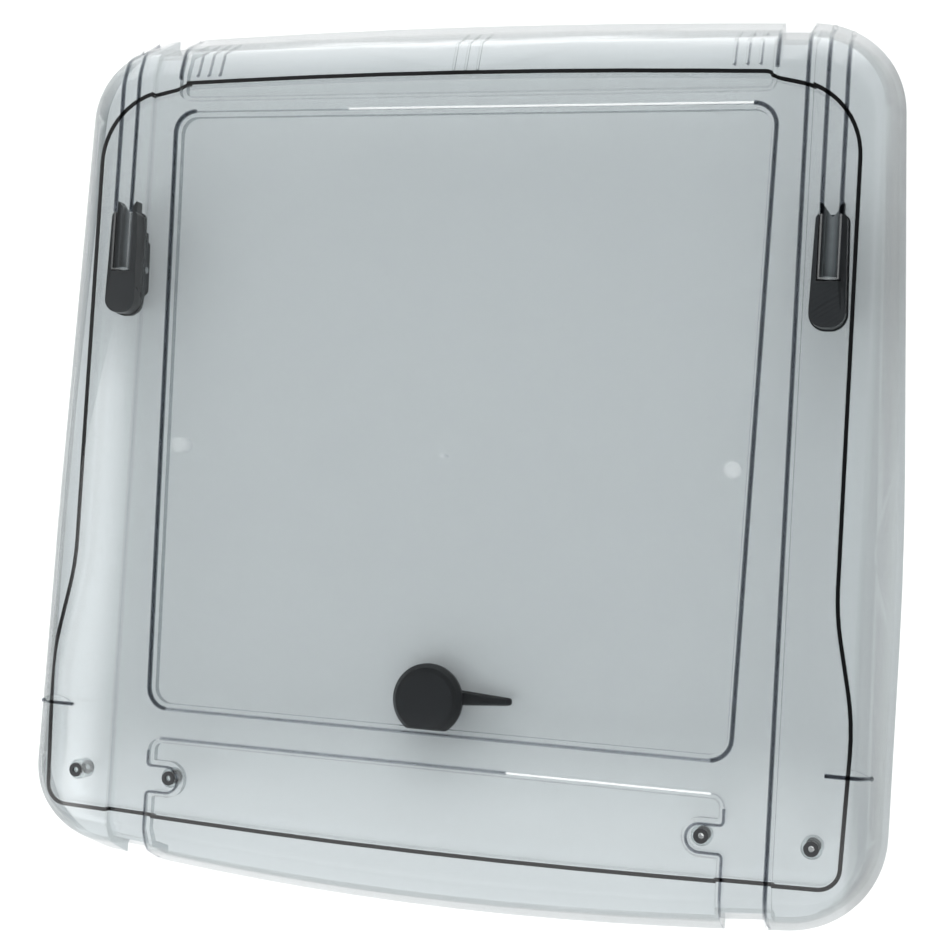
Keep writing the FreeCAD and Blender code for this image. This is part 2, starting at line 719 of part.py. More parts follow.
# Steps along the underside of the bracket, as lengths from its rear and front ends
step_sketch = new_sketch(housing, "underside_steps", role="YZ_Plane", level="0")
low = "dims.bracket_bottom"
closed_outline(step_sketch, [
    ("dims.bracket_rear_y + 10", f"{low} - 5", "0"),
    ("dims.bracket_rear_y + 10", f"{low} + 7.5", "0"),
    ("dims.bracket_rear_y - 4.5", f"{low} + 7.5", "0.8"),
    ("dims.bracket_rear_y - 4.5", f"{low} + 5.5", "0"),
    ("dims.bracket_rear_y - 11", f"{low} + 5.5", "0.8"),
    ("dims.bracket_rear_y - 11", f"{low} + 2.6", "0"),
    ("dims.bracket_rear_y - 17", f"{low} + 2.6", "0.8"),
    ("dims.bracket_rear_y - 17", f"{low} - 5", "0"),
])
closed_outline(step_sketch, [
    ("dims.bracket_front_y - 10", f"{low} - 5", "0"),
    ("dims.bracket_front_y + 20", f"{low} - 5", "0"),
    ("dims.bracket_front_y + 13", f"{low} + 3", "0"),
    ("dims.bracket_front_y + 13", f"{low} + 4.2", "0"),
    ("dims.bracket_front_y + 6", f"{low} + 8", "0"),
    ("dims.bracket_front_y + 6", f"{low} + 6", "0"),
    ("dims.bracket_front_y - 10", f"{low} + 8.5", "0"),
])
underside = pocket(housing, step_sketch, "dims.bracket_x + dims.bracket_width", "underside")
underside.Reversed = True
doc.recompute()
pin_hole_plan = new_sketch(housing, "pin_hole_plan", role="YZ_Plane", level="0")
round_hole(pin_hole_plan, "dims.pin_y", "dims.pin_level", "dims.pin_radius + dims.pin_clearance")
pin_hole = pocket(housing, pin_hole_plan, "dims.bracket_x + dims.bracket_width", "pin_hole")
pin_hole.Reversed = True
doc.recompute()

# Pad that bonds the bracket under the outer skin, and the gasket round it in the inner pane
bracket_pad = new_body("bracket_pad_right")
pad_plan = new_sketch(bracket_pad, "pad_plan", level=bracket_top)
closed_outline(pad_plan, bracket_corners("0"))
pad(bracket_pad, pad_plan, "dims.bracket_pad_thick", "pad_block")
pad_window = new_sketch(bracket_pad, "pad_window", level="dims.crown_level - dims.skin")
closed_outline(pad_window, [
    ("dims.bracket_x - dims.track_half_width", "dims.window_end_y", "0"),
    ("dims.bracket_x + dims.track_half_width", "dims.window_end_y", "0"),
    ("dims.bracket_x + dims.track_half_width", "dims.channel_reach", "0"),
    ("dims.bracket_x - dims.track_half_width", "dims.channel_reach", "0"),
])
pocket(bracket_pad, pad_window, "dims.bracket_pad_thick", "pad_opening")
gasket = new_body("bracket_gasket_right")
gasket_plan = new_sketch(gasket, "gasket_plan", level=pane_bottom)
closed_outline(gasket_plan, bracket_corners("dims.bracket_gasket_width"))
closed_outline(gasket_plan, bracket_corners("0"))
pad(gasket, gasket_plan, "dims.pane_thick", "gasket_block")

# Pin that carries the eye of the stay across the slot
pin = doc.addObject("Part::Cylinder", "pivot_pin_right")
pin.setExpression("Radius", "dims.pin_radius")
pin.setExpression("Height", "dims.bracket_width - 1")
pin.Placement.Rotation = FreeCAD.Rotation(FreeCAD.Vector(0, 1, 0), 90)
pin.setExpression("Placement.Base.x", "dims.bracket_x - dims.bracket_width / 2 + 0.5")
pin.setExpression("Placement.Base.y", "dims.pin_y")
pin.setExpression("Placement.Base.z", "dims.pin_level")

# Catch slide: a trough with a notched end that runs in the bracket's track
slide_bottom = "dims.track_floor + dims.slide_clearance"
slide = new_body("catch_slide_right")
slide_plan = new_sketch(slide, "slide_plan", level=slide_bottom)
closed_outline(slide_plan, [
    ("dims.bracket_x - dims.slide_half_width", "dims.slide_front_y", "0.8"),
    ("dims.bracket_x + dims.slide_half_width", "dims.slide_front_y", "0.8"),
    ("dims.bracket_x + dims.slide_half_width", "dims.slide_tip_y", "0.4"),
    ("dims.bracket_x", "dims.slide_notch_y", "0.6"),
    ("dims.bracket_x - dims.slide_half_width", "dims.slide_tip_y", "0.4"),
])
pad(slide, slide_plan, "dims.slide_height", "slide_block")
groove_section = new_sketch(slide, "groove_section", role="XZ_Plane", level="-dims.slide_front_y - 2")
groove_bottom = f"{slide_bottom} + dims.slide_height - dims.slide_groove_depth"
closed_outline(groove_section, [
    ("dims.bracket_x - dims.slide_groove_half_width", groove_bottom, "1.8"),
    ("dims.bracket_x + dims.slide_groove_half_width", groove_bottom, "1.8"),
    ("dims.bracket_x + dims.slide_groove_half_width", "dims.crown_level", "0"),
    ("dims.bracket_x - dims.slide_groove_half_width", "dims.crown_level", "0"),
])
pocket(slide, groove_section, "60", "groove")
doc.recompute()

right_pieces = {
    "bracket_housing": housing,
    "bracket_pad": bracket_pad,
    "bracket_gasket": gasket,
    "pivot_pin": pin,
    "catch_slide": slide,
}
left_pieces = [mirrored(piece, f"{name}_left") for name, piece in right_pieces.items()]
doc.recompute()

# Rotary latch under the inner pane, from the bond pad down to the knob
base_top = f"({pane_bottom} - dims.latch_pad_thick)"
base_bottom = f"({base_top} - dims.latch_base_thick)"
washer_bottom = f"({base_bottom} - dims.washer_thick)"
lever_bottom = f"({washer_bottom} - dims.lever_thick)"
knob_bottom = f"({lever_bottom} - dims.knob_thick)"
latch_pad = upright_cylinder(
    "latch_pad", "dims.latch_x", "dims.latch_y", base_top, "dims.latch_pad_thick", "dims.latch_pad_radius")

base = new_body("latch_base")
base_plan = new_sketch(base, "base_plan", level=base_bottom)
round_hole(base_plan, "dims.latch_x", "dims.latch_y", "dims.latch_radius")
pad(base, base_plan, "dims.latch_base_thick", "base_block")
doc.recompute()
bevel_edges(base, [edge for edge, box in level_edges(base)], "dims.latch_chamfer", "upper_bevel")
flat_y = "dims.latch_y - dims.latch_flat"
flat_section = new_sketch(base, "flat_section", role="YZ_Plane", level="dims.latch_x + dims.latch_radius + 1")
closed_outline(flat_section, [
    (flat_y, f"{base_bottom} - 1", "0"),
    (flat_y, f"{base_top} - dims.latch_chamfer / 2", "0"),
    (f"{flat_y} + dims.latch_chamfer / 2", base_top, "0"),
    (f"{flat_y} + dims.latch_chamfer / 2", f"{base_top} + 1", "0"),
    (f"{flat_y} - 10", f"{base_top} + 1", "0"),
    (f"{flat_y} - 10", f"{base_bottom} - 1", "0"),
])
pocket(base, flat_section, "2 * dims.latch_radius + 2", "flat")
insert_seat = new_sketch(base, "insert_seat", level=base_bottom)
round_hole(insert_seat, "dims.latch_x", "dims.latch_y", "dims.insert_radius")
pocket(base, insert_seat, "dims.insert_length", "insert_bore", down=False)
doc.recompute()

insert_disc = upright_cylinder(
    "insert_disc", "dims.latch_x", "dims.latch_y", base_bottom, "dims.insert_length", "dims.insert_radius")
insert_bore = upright_cylinder(
    "insert_thread", "dims.latch_x", "dims.latch_y", base_bottom, "dims.insert_length",
    "dims.thread_radius + dims.thread_clearance")
latch_insert = join("Cut", "latch_insert", insert_disc, insert_bore)

washer_disc = upright_cylinder(
    "washer_disc", "dims.latch_x", "dims.latch_y", washer_bottom, "dims.washer_thick", "dims.washer_radius")
washer_bore = upright_cylinder(
    "washer_bore", "dims.latch_x", "dims.latch_y", washer_bottom, "dims.washer_thick",
    "dims.shoulder_screw_radius + dims.shoulder_screw_clearance")
latch_washer = join("Cut", "latch_washer", washer_disc, washer_bore)

lever = new_body("latch_lever")
hub_plan = new_sketch(lever, "hub_plan", level=lever_bottom)
round_hole(hub_plan, "dims.latch_x", "dims.latch_y", "dims.lever_hub_radius")
pad(lever, hub_plan, "dims.lever_thick", "hub")
finger_y = "dims.latch_y + dims.lever_offset"
finger_plan = new_sketch(lever, "finger_plan", level=lever_bottom)
closed_outline(finger_plan, [
    ("dims.latch_x + dims.lever_root_x", f"{finger_y} - dims.lever_root_half_width", "0"),
    ("dims.latch_x + dims.lever_tip_x", f"{finger_y} - dims.lever_tip_half_width", "dims.lever_tip_radius"),
    ("dims.latch_x + dims.lever_tip_x", f"{finger_y} + dims.lever_tip_half_width", "dims.lever_tip_radius"),
    ("dims.latch_x + dims.lever_root_x", f"{finger_y} + dims.lever_root_half_width", "0"),
])
pad(lever, finger_plan, "dims.lever_thick", "finger")
drive_plan = new_sketch(lever, "drive_plan", level=lever_bottom)
closed_outline(drive_plan, [
    (f"dims.latch_x + {across} * dims.drive_size / 2", f"dims.latch_y + {along} * dims.drive_size / 2", "0")
    for across, along in ((-1, -1), (1, -1), (1, 1), (-1, 1))
])
pad(lever, drive_plan, "dims.drive_length", "drive", up=False)
lever_bore = new_sketch(lever, "lever_bore", level=washer_bottom)
round_hole(lever_bore, "dims.latch_x", "dims.latch_y",
           "dims.shoulder_screw_radius + dims.shoulder_screw_clearance")
pocket(lever, lever_bore, "dims.lever_thick + dims.drive_length", "bore")
doc.recompute()
hub_reach = value("dims.latch_x + dims.lever_hub_radius") + 1
finger_edges = [edge for edge, box in level_edges(lever) if box.XMax > hub_reach]
bevel_edges(lever, finger_edges, "dims.lever_ridge", "ridge")

knob = new_body("latch_knob")
knob_plan = new_sketch(knob, "knob_plan", level=knob_bottom)
round_hole(knob_plan, "dims.latch_x", "dims.latch_y", "dims.knob_radius")
pad(knob, knob_plan, "dims.knob_thick", "knob_block")
doc.recompute()
lower_edges = [edge for edge, box in level_edges(knob, top=False)]
bevel_edges(knob, lower_edges, "dims.knob_chamfer", "knob_bevel")
recess_plan = new_sketch(knob, "recess_plan", level=knob_bottom)
round_hole(recess_plan, "dims.latch_x", "dims.latch_y", "dims.screw_head_radius + dims.screw_head_clearance")
pocket(knob, recess_plan, "dims.screw_head_recess", "head_recess", down=False)
socket_plan = new_sketch(knob, "socket_plan", level=lever_bottom)
closed_outline(socket_plan, [
    (f"dims.latch_x + {across} * dims.drive_size / 2", f"dims.latch_y + {along} * dims.drive_size / 2", "0")
    for across, along in ((-1, -1), (1, -1), (1, 1), (-1, 1))
])
pocket(knob, socket_plan, "dims.drive_length", "drive_socket")
knob_bore = new_sketch(knob, "knob_bore", level=lever_bottom)
round_hole(knob_bore, "dims.latch_x", "dims.latch_y",
           "dims.shoulder_screw_radius + dims.shoulder_screw_clearance")
pocket(knob, knob_bore, "dims.knob_thick", "screw_bore")
scallop_plan = new_sketch(knob, "scallop_plan", level=knob_bottom)
scallop_x = "dims.latch_x + dims.knob_radius + dims.knob_scallop_radius / 2"
round_hole(scallop_plan, scallop_x, "dims.latch_y", "dims.knob_scallop_radius")
scallop = pocket(knob, scallop_plan, "dims.knob_thick", "scallop", down=False)
doc.recompute()
turn_axis = new_sketch(knob, "turn_axis")
turn_axis.setExpression("AttachmentOffset.Base.x", "dims.latch_x")
turn_axis.setExpression("AttachmentOffset.Base.y", "dims.latch_y")
scallops = knob.newObject("PartDesign::PolarPattern", "scallops")
scallops.Originals = [scallop]
scallops.Axis = (turn_axis, ["N_Axis"])
scallops.Angle = 360
knob.Tip = scallops
scallops.setExpression("Occurrences", "dims.knob_scallop_count")
doc.recompute()

screw = new_body("latch_screw")
screw_profile = new_sketch(screw, "screw_profile", role="YZ_Plane", level="dims.latch_x")
screw_profile.setExpression("AttachmentOffset.Base.x", "dims.latch_y")
head_top = f"{knob_bottom} + dims.screw_head_recess"
thread_top = f"{base_bottom} + dims.insert_length - 0.3"
closed_outline(screw_profile, [
    ("0", f"{head_top} - dims.screw_head_thick", "0"),
    ("dims.screw_head_radius", f"{head_top} - dims.screw_head_thick", "0"),
    ("dims.screw_head_radius", head_top, "0"),
    ("dims.shoulder_screw_radius", head_top, "0"),
    ("dims.shoulder_screw_radius", base_bottom, "0"),
    ("dims.thread_radius", base_bottom, "0"),
    ("dims.thread_radius", thread_top, "0"),
    ("0", thread_top, "0"),
])
turned = screw.newObject("PartDesign::Revolution", "turned")
turned.Profile = screw_profile
turned.ReferenceAxis = (screw_profile, ["V_Axis"])
turned.Angle = 360
doc.recompute()

PIECES = {
    "outer_shell": outer_shell,
    "inner_pane": inner_pane,
    "bond_bead": bond_bead,
    "front_bushes": front_bushes,
    "bush_spacers": bush_spacer_group,
    "bush_washers": bush_washer_group,
    "spacer_pads": spacer_pads,
    "centre_stud": centre_stud,
    "latch_pad": latch_pad,
    "latch_base": base,
    "latch_insert": latch_insert,
    "latch_washer": latch_washer,
    "latch_lever": lever,
    "latch_knob": knob,
    "latch_screw": screw,
}
for (name, piece), left_piece in zip(right_pieces.items(), left_pieces):
    PIECES[f"{name}_right"] = piece
    PIECES[f"{name}_left"] = left_piece

doc.recompute()
for feature in doc.Objects:
    if "Invalid" in feature.State or "Error" in feature.State:
        raise RuntimeError(f"{feature.Name}: {feature.State}")
os.makedirs("parts", exist_ok=True)
for name, piece in PIECES.items():
    piece.Label = name
    if piece.Shape.isNull() or not piece.Shape.isValid():
        raise RuntimeError(f"{name} has no valid shape")
    piece.Shape.exportStep(f"parts/{name}.step")
    print(name, len(piece.Shape.Solids), round(piece.Shape.Volume, 1), piece.Shape.BoundBox)
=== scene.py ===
import math

import bpy
from mathutils import Matrix, Vector


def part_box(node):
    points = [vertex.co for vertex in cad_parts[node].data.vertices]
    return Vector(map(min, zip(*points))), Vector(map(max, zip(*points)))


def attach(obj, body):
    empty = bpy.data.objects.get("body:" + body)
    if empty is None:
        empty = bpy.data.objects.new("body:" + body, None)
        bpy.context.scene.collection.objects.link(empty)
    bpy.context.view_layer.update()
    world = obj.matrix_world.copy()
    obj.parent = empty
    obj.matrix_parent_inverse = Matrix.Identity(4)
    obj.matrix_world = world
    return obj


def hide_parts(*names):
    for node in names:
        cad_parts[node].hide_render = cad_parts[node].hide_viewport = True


bl_info = {
    "name": "Roof-light Hood",
    "version": (1, 0, 0),
    "blender": (4, 5, 0),
    "location": "View3D > Sidebar > Hood",
    "description": "Dresses a double-skinned acrylic roof-light hood and sets its studio",
    "category": "Object",
}

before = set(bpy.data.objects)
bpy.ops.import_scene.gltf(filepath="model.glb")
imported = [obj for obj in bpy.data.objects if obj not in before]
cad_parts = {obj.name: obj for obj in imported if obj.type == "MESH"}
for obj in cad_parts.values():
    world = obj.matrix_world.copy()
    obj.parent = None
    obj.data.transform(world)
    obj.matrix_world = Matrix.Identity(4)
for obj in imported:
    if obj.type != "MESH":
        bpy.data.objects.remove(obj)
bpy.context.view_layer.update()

# Places on the outer skin in metres: a side is a distance from the middle plane, a span has two ends
FIELD_LEVEL = 0.0295
PANEL_LEVEL = 0.0285
FIELD_SIDE_SPAN = (0.165, 0.185)
FIELD_SPAN = (-0.160, 0.207)
FIELD_FRONT_SPAN = (-0.160, -0.150)
FIELD_REAR_SPAN = (0.2035, 0.2075)
FIELD_REAR_END = 0.166
PANEL_REAR_SPAN = (-0.187, -0.168)
PANEL_END = 0.165
TAB_SIDE_SPAN = (0.150, 0.1735)
TAB_SPAN = (-0.215, -0.185)
GROOVE_X = 0.198
REAR_ARM_SIDE = 0.181
REAR_ARM_START = 0.2235
FRONT_ARM_SIDE = 0.1735
FRONT_ARM_START = -0.183
FLUTE_WALLS = (0.209, 0.2196)
FLUTE_SIDE_SPAN = (0.2085, 0.2201)
FLUTE_START = 0.10
BRACKET_LAP = 0.001
BRACKET_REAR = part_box("bracket_housing_right")[1][1] - BRACKET_LAP
MIDDLE_RIB_WALL = 0.16425
RIB_SPACING = 0.0073
RIB_WALLS = (MIDDLE_RIB_WALL - RIB_SPACING, MIDDLE_RIB_WALL, MIDDLE_RIB_WALL + RIB_SPACING)
RIB_START = 0.226
STEP_Y = -0.160
STEP_SIDE = 0.2262
REAR_GLINT_START = -0.07
FRONT_GLINT_START = 0.05
# Span where the painted light on the rear wall fades in
REAR_LIGHT_SPAN = (0.232, 0.250)
# Margin beside the seam, where the sheet is darkened with painted shade
MARGIN_START = 0.238
MARGIN_FULL = 0.243
MARGIN_FADE = 0.252
MARGIN_END = 0.256

# Cords that lie in the bends, in metres
CORD_END = 0.0035
CORD_SINK = 0.0008
GLINT_SINK = 0.0004

# Roundings of the other pieces and the half width of the painted highlight along the slides, in metres
TRAY_EDGE = 0.0008
BEAD_EDGE = 0.0002
BEAD_SWELL = 0.0003
BRACKET_EDGE = 0.0004
SLIDE_EDGE = 0.0003
LATCH_EDGE = 0.0005
FINGER_EDGE = 0.0006
BUSH_EDGE = 0.0003
HIGHLIGHT_HALF_WIDTH = 0.0050

# How a copied mesh is merged, rounded and shaded
MERGE_DISTANCE = 2e-6
ROUNDED_FROM = math.radians(32)
SMOOTH_UP_TO = math.radians(40)
BEND_FROM = math.radians(30)

# Patterns of the finishes, in millimetres from one wave to the next. Scratches, tool lines and the grain
# of moulded pieces are finer in life and are drawn this coarse so that they show
MM_PER_METRE = 1000.0
RIPPLE_MM = 111.0
SHEEN_PATCH_MM = 16.7
SCRATCH_MM = 4.55
TOOL_LINE_MM = 1.11
PLASTIC_GRAIN_MM = 0.7
RUBBER_GRAIN_MM = 0.5
COMPOUND_GRAIN_MM = 0.8

# Sockets of a colour mix go by number, because their names repeat
MIX_SHARE = 0
MIX_FIRST = 6
MIX_SECOND = 7
MIX_RESULT = 2

# Camera axes, studio floor and light of the room
CAMERA_RIGHT = Vector((0.9571, 0.0590, -0.2836))
CAMERA_UP = Vector((-0.0470, 0.9977, 0.0490))
CAMERA_BACK = Vector((0.2859, -0.0336, 0.9577))
SENSOR_WIDTH = 36.0
SHEETS_IN_SIGHT = 32
FLOOR_LEVEL = -0.0002
PAPER = 0.96
ROOM_LIGHT = 1.75
SIDE_LIGHT = 1.5
BRIGHT_SIDE = (-0.75, -0.05, 0.0)
ROOM_HEIGHTS = ((0.0, 1.0), (0.55, 1.0), (0.80, 0.30), (0.92, 0.07), (1.0, 0.03))


# Small helpers for colours, nodes and selections
def linear(hex_colour):
    """Linear RGBA of an sRGB hex colour such as 'c8d0d2'."""
    channels = [int(hex_colour[start:start + 2], 16) / 255 for start in (0, 2, 4)]
    straight = [c / 12.92 if c <= 0.04045 else ((c + 0.055) / 1.055) ** 2.4 for c in channels]
    return (*straight, 1.0)


def grey(level):
    """RGBA of a linear grey."""
    return (level, level, level, 1.0)


WHITE = grey(1.0)


def add_node(owner, kind, settings=None, links=None):
    """Node in a material or world, with attribute or socket settings and incoming links."""
    node = owner.node_tree.nodes.new(kind)
    for key, setting in (settings or {}).items():
        if isinstance(key, str) and hasattr(node, key):
            setattr(node, key, setting)
        else:
            node.inputs[key].default_value = setting
    for key, socket in (links or {}).items():
        owner.node_tree.links.new(socket, node.inputs[key])
    return node


def new_material(name):
    """Empty node material and its output node."""
    material = bpy.data.materials.new(name)
    material.use_nodes = True
    material.node_tree.nodes.clear()
    return material, add_node(material, "ShaderNodeOutputMaterial")


def ramp_stops(node, stops):
    """Colour stops of a ramp: position and linear colour."""
    ramp = node.color_ramp
    while len(ramp.elements) > 1:
        ramp.elements.remove(ramp.elements[-1])
    ramp.elements[0].position, ramp.elements[0].color = stops[0]
    for position, colour in stops[1:]:
        ramp.elements.new(position).color = colour


def deselect_all():
    """Nothing selected and object mode."""
    if bpy.context.object and bpy.context.object.mode != "OBJECT":
        bpy.ops.object.mode_set(mode="OBJECT")
    bpy.ops.object.select_all(action="DESELECT")


def take_up(piece):
    """Makes one object the only selected one."""
    deselect_all()
    piece.select_set(True)
    bpy.context.view_layer.objects.active = piece


def edit_whole(piece):
    """Opens one object in edit mode with its whole mesh selected."""
    take_up(piece)
    bpy.ops.object.mode_set(mode="EDIT")
    bpy.ops.mesh.select_all(action="SELECT")


def apply_modifier(piece, kind, **settings):
    """Adds a modifier with its settings and applies it."""
    take_up(piece)
    modifier = piece.modifiers.new(kind.lower(), kind)
    for key, setting in settings.items():
        setattr(modifier, key, setting)
    bpy.ops.object.modifier_apply(modifier=modifier.name)


# Copies of the CAD nodes
def merged_copy(node, name):
    """Copy of a CAD node with its corners merged, left in edit mode."""
    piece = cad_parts[node].copy()
    piece.data = piece.data.copy()
    piece.name = name
    piece.data.name = name
    bpy.context.collection.objects.link(piece)
    edit_whole(piece)
    bpy.ops.mesh.remove_doubles(threshold=MERGE_DISTANCE)
    return piece


def softened_copy(node, name, radius):
    """Copy of a CAD node with its sharp edges rounded and its flats kept flat."""
    piece = merged_copy(node, name)
    bpy.ops.object.mode_set(mode="OBJECT")
    apply_modifier(
        piece, "BEVEL", width=radius, segments=3, limit_method="ANGLE",
        angle_limit=ROUNDED_FROM, harden_normals=False)
    bpy.ops.object.shade_smooth_by_angle(angle=SMOOTH_UP_TO)
    apply_modifier(
        piece, "WEIGHTED_NORMAL", mode="FACE_AREA_WITH_ANGLE", weight=50, keep_sharp=True)
    return piece


def join_into(piece, others):
    """The others become part of the piece."""
    take_up(piece)
    for other in others:
        other.select_set(True)
    bpy.ops.object.join()


def stand_in(piece, node, body):
    """The piece takes the node's place and rides on its body."""
    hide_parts(node)
    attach(piece, body)


def dress(piece, material):
    """One material all over."""
    piece.data.materials.clear()
    piece.data.materials.append(material)


def dress_node(node, material):
    """Material of a CAD node that stays."""
    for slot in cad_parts[node].material_slots:
        slot.material = material


# Cords along the bends of the outer skin: painted shade lines and painted highlights
def sharp_edges(mesh, least_angle):
    """Middle points of the outward corners of a mesh, by edge number."""
    sides = {}
    for face in mesh.polygons:
        for key in face.edge_keys:
            sides.setdefault(key, []).append(face)
    found = {}
    for edge in mesh.edges:
        pair = sides.get(edge.key, [])
        if len(pair) != 2 or pair[0].normal.angle(pair[1].normal, 0.0) < least_angle:
            continue
        if (pair[1].center - pair[0].center).dot(pair[0].normal) < 0:
            ends = [mesh.vertices[number].co for number in edge.vertices]
            found[edge.index] = (ends[0] + ends[1]) / 2
    return found


def keep_edges(cord, chosen):
    """Leaves only the outward corners whose middle points are chosen, selected in edit mode."""
    mesh = cord.data
    for number, middle in sharp_edges(mesh, BEND_FROM).items():
        if chosen(middle):
            mesh.edges[number].select = True
            for corner in mesh.edges[number].vertices:
                mesh.vertices[corner].select = True
    bpy.ops.object.mode_set(mode="EDIT")
    bpy.ops.mesh.select_all(action="INVERT")
    bpy.ops.mesh.delete(type="EDGE")
    bpy.ops.mesh.select_all(action="SELECT")


def bend_line(node, name, chosen, radius, sink):
    """Round cord along the chosen outward corners of a CAD node, sunk a little into the sheet."""
    cord = merged_copy(node, name)
    bpy.ops.mesh.select_mode(type="EDGE")
    # The long corners are cut where their look changes
    for place, across in (
        ((0.0, BRACKET_REAR, 0.0), (0.0, 1.0, 0.0)),
        ((REAR_GLINT_START, 0.0, 0.0), (1.0, 0.0, 0.0)),
        ((FRONT_GLINT_START, 0.0, 0.0), (1.0, 0.0, 0.0)),
    ):
        bpy.ops.mesh.select_all(action="SELECT")
        bpy.ops.mesh.bisect(plane_co=place, plane_no=across)
    bpy.ops.mesh.select_all(action="DESELECT")
    bpy.ops.object.mode_set(mode="OBJECT")
    keep_edges(cord, chosen)
    bpy.ops.transform.translate(value=(0.0, 0.0, -sink))
    bpy.ops.object.mode_set(mode="OBJECT")
    bpy.ops.object.convert(target="CURVE")
    curve = bpy.context.object.data
    curve.dimensions = "3D"
    curve.bevel_depth = radius
    curve.bevel_resolution = 3
    curve.use_fill_caps = True
    bpy.ops.object.convert(target="MESH")
    cord = bpy.context.object
    # Trimmed so that no end sticks out below the rim
    edit_whole(cord)
    bpy.ops.mesh.bisect(
        plane_co=(0.0, 0.0, CORD_END), plane_no=(0.0, 0.0, -1.0), clear_outer=True, use_fill=True)
    bpy.ops.object.mode_set(mode="OBJECT")
    bpy.ops.object.shade_smooth()
    return cord


def clear_ends(cord, air):
    """The trimmed ends of a cord let all light through."""
    cord.data.materials.append(air)
    for face in cord.data.polygons:
        if near(face.center.z, CORD_END, reach=1e-5):
            face.material_index = 1


def near(number, target, reach=0.0004):
    """True where the number lies close to the target."""
    return abs(number - target) < reach


def inside(number, span):
    """True where the number lies between the two ends of the span."""
    return span[0] < number < span[1]


def at_dark_bend(spot):
    """Sides of the window field, right groove, rear arms and flutes."""
    side = abs(spot.x)
    field = spot.z > FIELD_LEVEL and inside(side, FIELD_SIDE_SPAN) and inside(spot.y, FIELD_SPAN)
    groove = near(spot.x, GROOVE_X)
    arm = near(side, REAR_ARM_SIDE) and spot.y > REAR_ARM_START
    flute = any(near(side, wall) for wall in FLUTE_WALLS) and spot.y > BRACKET_REAR
    return field or groove or arm or flute


def at_soft_bend(spot):
    """Front arms and the two tabs."""
    side = abs(spot.x)
    arm = near(side, FRONT_ARM_SIDE) and spot.y < FRONT_ARM_START
    tab = spot.z > FIELD_LEVEL and inside(side, TAB_SIDE_SPAN) and inside(spot.y, TAB_SPAN)
    return arm or tab


def at_faint_bend(spot):
    """Front edge of the window field and left part of the front panel's rear edge."""
    middle = abs(spot.x) <= FIELD_SIDE_SPAN[0]
    field = spot.z > FIELD_LEVEL and middle and inside(spot.y, FIELD_FRONT_SPAN)
    left = inside(spot.x, (-PANEL_END, FRONT_GLINT_START))
    panel = spot.z > PANEL_LEVEL and left and inside(spot.y, PANEL_REAR_SPAN)
    return field or panel


def at_rib(spot):
    """One edge of each small rib of the rear wall."""
    return spot.y > RIB_START and any(near(abs(spot.x), wall) for wall in RIB_WALLS)


def at_field_glint(spot):
    """Right parts of the window field's rear edge and of the front panel's rear edge."""
    rear_part = inside(spot.x, (REAR_GLINT_START, FIELD_REAR_END))
    field = spot.z > FIELD_LEVEL and rear_part and inside(spot.y, FIELD_REAR_SPAN)
    front_part = inside(spot.x, (FRONT_GLINT_START, PANEL_END))
    panel = spot.z > PANEL_LEVEL and front_part and inside(spot.y, PANEL_REAR_SPAN)
    return field or panel


def at_flute_glint(spot):
    """Flutes where they lie over the brackets, and their front ends."""
    return inside(abs(spot.x), FLUTE_SIDE_SPAN) and FLUTE_START < spot.y <= BRACKET_REAR


def at_thumb_step(spot):
    """Straight edges of the two thumb steps."""
    return near(spot.y, STEP_Y) and abs(spot.x) > STEP_SIDE


# Finishes
def split_light(material, output, seen, cast):
    """The eye meets one shader, and the light on its way to the floor meets the other."""
    path = add_node(material, "ShaderNodeLightPath")
    either = add_node(
        material, "ShaderNodeMixShader", None,
        {0: path.outputs["Is Shadow Ray"], 1: seen, 2: cast})
    material.node_tree.links.new(either.outputs["Shader"], output.inputs["Surface"])


